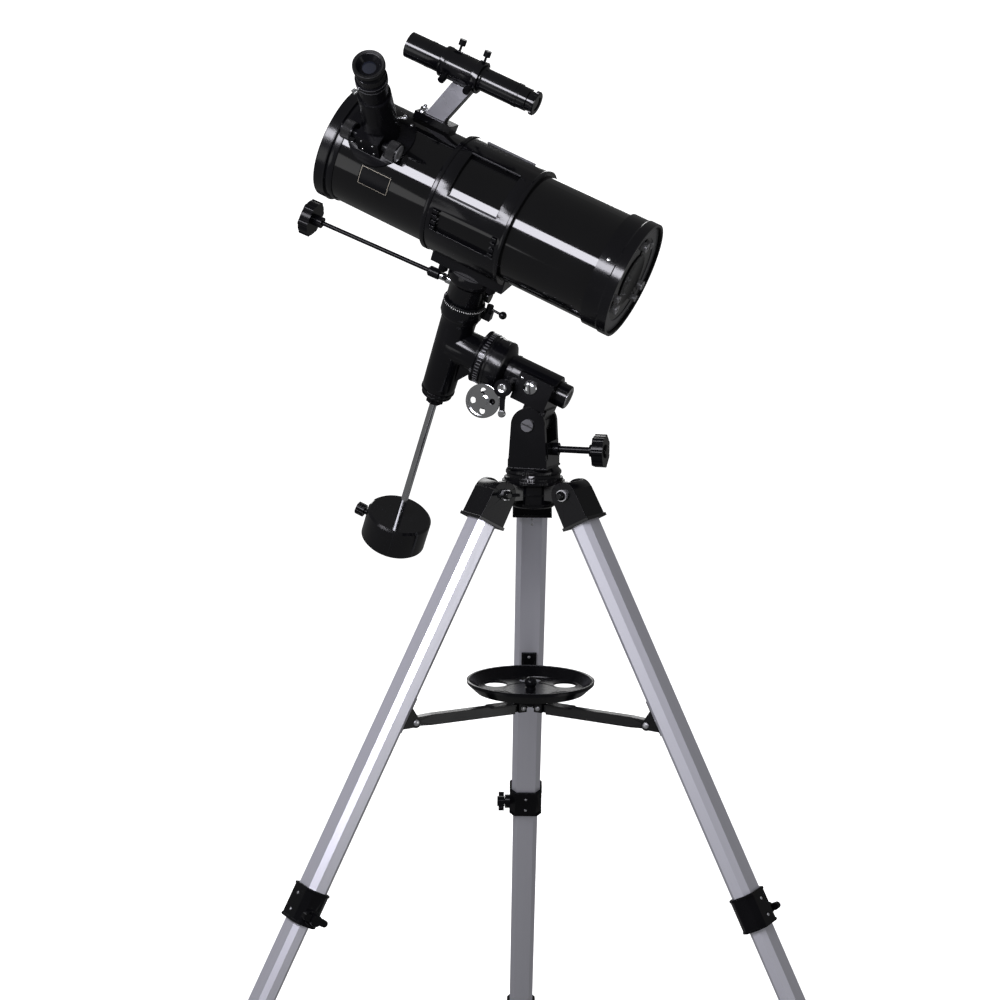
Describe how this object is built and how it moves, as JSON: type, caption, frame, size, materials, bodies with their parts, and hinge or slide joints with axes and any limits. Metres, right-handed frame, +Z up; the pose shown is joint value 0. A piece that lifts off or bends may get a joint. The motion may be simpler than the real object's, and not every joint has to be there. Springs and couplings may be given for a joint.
{
  "type": "telescope on tripod",
  "caption": "Short reflecting telescope on an equatorial mount with counterweight, finder and folding tripod with accessory tray.",
  "frame": {"origin": "on the floor, under the centre of the object's box", "axes": "+Z up, +Y towards the rear leg, +X to the right leg's side"},
  "size_m": [1.0096, 0.8766, 1.5209],
  "materials": {
    "black_casting": "black satin paint on cast alloy",
    "black_plastic": "moulded black plastic",
    "black_painted_steel": "black satin paint",
    "satin_aluminium": "satin anodised",
    "black_rubber": "matt",
    "zinc_steel": "zinc plated",
    "chrome": "bright",
    "weight_iron": "black gloss paint",
    "gloss_tube": "black gloss paint",
    "finder_black": "satin",
    "finder_grey": "satin",
    "mirror_glass": "polished"
  },
  "bodies": {
    "tripod_head": {"tripod_hub": "black_casting", "leg_hinge_bolts": "zinc_steel"},
    "leg_rear": {"leg_bracket_rear": "black_plastic", "leg_upper_rear": "satin_aluminium", "leg_clamp_rear": "black_plastic", "spreader_bracket_rear": "black_plastic"},
    "lower_leg_rear": {"leg_lower_rear": "satin_aluminium", "leg_foot_rear": "black_rubber"},
    "leg_lock_rear": {"leg_lock_screw_rear": "black_plastic"},
    "leg_left": {"leg_bracket_left": "black_plastic", "leg_upper_left": "satin_aluminium", "leg_clamp_left": "black_plastic", "spreader_bracket_left": "black_plastic"},
    "lower_leg_left": {"leg_lower_left": "satin_aluminium", "leg_foot_left": "black_rubber"},
    "leg_lock_left": {"leg_lock_screw_left": "black_plastic"},
    "leg_right": {"leg_bracket_right": "black_plastic", "leg_upper_right": "satin_aluminium", "leg_clamp_right": "black_plastic", "spreader_bracket_right": "black_plastic"},
    "lower_leg_right": {"leg_lower_right": "satin_aluminium", "leg_foot_right": "black_rubber"},
    "leg_lock_right": {"leg_lock_screw_right": "black_plastic"},
    "spreader": {"spreader_hub": "black_plastic", "accessory_tray": "black_plastic"},
    "arm_rear": {"spreader_arm_rear": "black_painted_steel"},
    "arm_left": {"spreader_arm_left": "black_painted_steel"},
    "arm_right": {"spreader_arm_right": "black_painted_steel"},
    "tray_knob": {"tray_knob": "black_plastic"},
    "fork": {"azimuth_fork": "black_casting", "latitude_bolt": "zinc_steel"},
    "latitude_screw": {"latitude_screw": "black_plastic"},
    "polar_housing": {"ra_housing": "black_casting", "polar_cap": "black_casting"},
    "ra_wheel": {"ra_slow_wheel": "chrome"},
    "ra_lock": {"ra_lock_lever": "black_painted_steel"},
    "dec_body": {"dec_housing": "black_casting", "ra_dial": "black_casting"},
    "dec_lock": {"dec_lock_lever": "black_painted_steel"},
    "dec_axis": {"dec_head": "black_casting", "counterweight_shaft": "chrome", "shaft_nut": "black_plastic", "tube_cradle": "black_plastic"},
    "dec_handle": {"dec_slow_handle": "black_plastic"},
    "counterweight": {"counterweight": "weight_iron"},
    "counterweight_screw": {"counterweight_screw": "black_plastic"},
    "optical_tube": {"main_tube": "gloss_tube", "front_ring": "black_plastic", "mirror_cell": "black_plastic", "primary_mirror": "mirror_glass", "collimation_screws": "zinc_steel", "spider": "black_painted_steel", "secondary_mirror": "mirror_glass", "focuser_body": "black_plastic", "finder_bracket": "finder_grey", "finder_tube": "finder_black", "finder_screws": "black_plastic"},
    "draw_tube": {"draw_tube": "black_plastic", "eyepiece": "black_plastic"},
    "focus_knobs": {"focus_knobs": "black_plastic"}
  },
  "joints": [
    {"name": "leg_fold_rear", "type": "hinge", "parent": "tripod_head", "child": "leg_rear", "pos_m": [0, -0.0788, 0.94253], "axis": [-1, 0, 0], "range_deg": [0, 8]},
    {"name": "leg_extend_rear", "type": "slide", "parent": "leg_rear", "child": "lower_leg_rear", "axis": [0, 0.4672, -0.8842], "range_m": [-0.24, 0.12]},
    {"name": "leg_lock_turn_rear", "type": "hinge", "parent": "leg_rear", "child": "leg_lock_rear", "pos_m": [0, 0.19449, 0.42529], "axis": [-1, 0, 0], "continuous": true},
    {"name": "leg_fold_left", "type": "hinge", "parent": "tripod_head", "child": "leg_left", "pos_m": [-0.04945, -0.16445, 0.94253], "axis": [0.5, -0.866, 0], "range_deg": [0, 8]},
    {"name": "leg_extend_left", "type": "slide", "parent": "leg_left", "child": "lower_leg_left", "axis": [-0.4046, -0.2336, -0.8842], "range_m": [-0.24, 0.12]},
    {"name": "leg_lock_turn_left", "type": "hinge", "parent": "leg_left", "child": "leg_lock_left", "pos_m": [-0.28612, -0.30109, 0.42529], "axis": [0.5, -0.866, 0], "continuous": true},
    {"name": "leg_fold_right", "type": "hinge", "parent": "tripod_head", "child": "leg_right", "pos_m": [0.04945, -0.16445, 0.94253], "axis": [0.5, 0.866, 0], "range_deg": [0, 8]},
    {"name": "leg_extend_right", "type": "slide", "parent": "leg_right", "child": "lower_leg_right", "axis": [0.4046, -0.2336, -0.8842], "range_m": [-0.24, 0.12]},
    {"name": "leg_lock_turn_right", "type": "hinge", "parent": "leg_right", "child": "leg_lock_right", "pos_m": [0.28612, -0.30109, 0.42529], "axis": [0.5, 0.866, 0], "continuous": true},
    {"name": "spreader_lift", "type": "slide", "parent": "tripod_head", "child": "spreader", "axis": [0, 0, 1], "range_m": [0, 0.107]},
    {"name": "arm_swing_rear", "type": "hinge", "parent": "spreader", "child": "arm_rear", "pos_m": [0, -0.1209, 0.65353], "axis": [-1, 0, 0], "range_deg": [0, 48]},
    {"name": "arm_swing_left", "type": "hinge", "parent": "spreader", "child": "arm_left", "pos_m": [-0.01299, -0.1434, 0.65353], "axis": [0.5, -0.866, 0], "range_deg": [0, 48]},
    {"name": "arm_swing_right", "type": "hinge", "parent": "spreader", "child": "arm_right", "pos_m": [0.01299, -0.1434, 0.65353], "axis": [0.5, 0.866, 0], "range_deg": [0, 48]},
    {"name": "tray_knob_turn", "type": "hinge", "parent": "spreader", "child": "tray_knob", "pos_m": [0, -0.1359, 0.67753], "axis": [0, 0, 1], "continuous": true},
    {"name": "azimuth_turn", "type": "hinge", "parent": "tripod_head", "child": "fork", "pos_m": [0, -0.1359, 0.96453], "axis": [0, 0, 1], "continuous": true},
    {"name": "latitude_screw_turn", "type": "hinge", "parent": "fork", "child": "latitude_screw", "pos_m": [0.02876, -0.14442, 0.99703], "axis": [0.9588, -0.284, 0], "continuous": true},
    {"name": "latitude_tilt", "type": "hinge", "parent": "fork", "child": "polar_housing", "pos_m": [0, -0.1359, 1.02963], "axis": [0.284, 0.9588, 0], "range_deg": [0, 35]},
    {"name": "ra_slow_turn", "type": "hinge", "parent": "polar_housing", "child": "ra_wheel", "pos_m": [-0.06531, -0.15306, 1.05991], "axis": [-0.284, -0.9588, 0], "continuous": true},
    {"name": "ra_lock_swing", "type": "hinge", "parent": "polar_housing", "child": "ra_lock", "pos_m": [-0.04061, -0.17393, 1.07837], "axis": [-0.284, -0.9588, 0], "range_deg": [-30, 30]},
    {"name": "ra_turn", "type": "hinge", "parent": "polar_housing", "child": "dec_body", "pos_m": [-0.06087, -0.11787, 1.1102], "axis": [-0.8819, 0.2612, 0.3923], "range_deg": [-75, 115]},
    {"name": "dec_lock_swing", "type": "hinge", "parent": "dec_body", "child": "dec_lock", "pos_m": [-0.05928, -0.1284, 1.17634], "axis": [0.2522, -0.4417, 0.861], "range_deg": [-25, 25]},
    {"name": "dec_turn", "type": "hinge", "parent": "dec_body", "child": "dec_axis", "pos_m": [-0.09123, -0.1331, 1.18793], "axis": [0.2522, -0.4417, 0.861], "continuous": true},
    {"name": "dec_slow_turn", "type": "hinge", "parent": "dec_axis", "child": "dec_handle", "pos_m": [-0.10983, -0.11721, 1.21196], "axis": [-0.89, 0.2761, 0.3629], "continuous": true},
    {"name": "counterweight_slide", "type": "slide", "parent": "dec_axis", "child": "counterweight", "axis": [0.2522, -0.4417, 0.861], "range_m": [-0.008, 0.17]},
    {"name": "counterweight_screw_turn", "type": "hinge", "parent": "counterweight", "child": "counterweight_screw", "pos_m": [-0.23047, 0.04658, 0.88273], "axis": [-0.8819, 0.2612, 0.3923], "continuous": true},
    {"name": "tube_roll", "type": "hinge", "parent": "dec_axis", "child": "optical_tube", "pos_m": [-0.05809, -0.19113, 1.30107], "axis": [-0.8717, 0.2827, 0.4003], "range_deg": [-60, 60]},
    {"name": "focus_travel", "type": "slide", "parent": "optical_tube", "child": "draw_tube", "axis": [-0.054, -0.8673, 0.4948], "range_m": [-0.024, 0.02]},
    {"name": "focus_turn", "type": "hinge", "parent": "optical_tube", "child": "focus_knobs", "pos_m": [-0.20627, -0.22988, 1.38672], "axis": [-0.8717, 0.2827, 0.4003], "range_deg": [-290, 350]}
  ],
  "couplings": [
    {"joint": "leg_fold_left", "follows": "leg_fold_rear", "ratio": 1},
    {"joint": "leg_fold_right", "follows": "leg_fold_rear", "ratio": 1},
    {"joint": "spreader_lift", "follows": "leg_fold_rear", "m_per_rad": 0.75895},
    {"joint": "arm_swing_rear", "follows": "leg_fold_rear", "ratio": 5.8903},
    {"joint": "arm_swing_left", "follows": "leg_fold_rear", "ratio": 5.8903},
    {"joint": "arm_swing_right", "follows": "leg_fold_rear", "ratio": 5.8903},
    {"joint": "focus_turn", "follows": "focus_travel", "rad_per_m": -250}
  ]
}
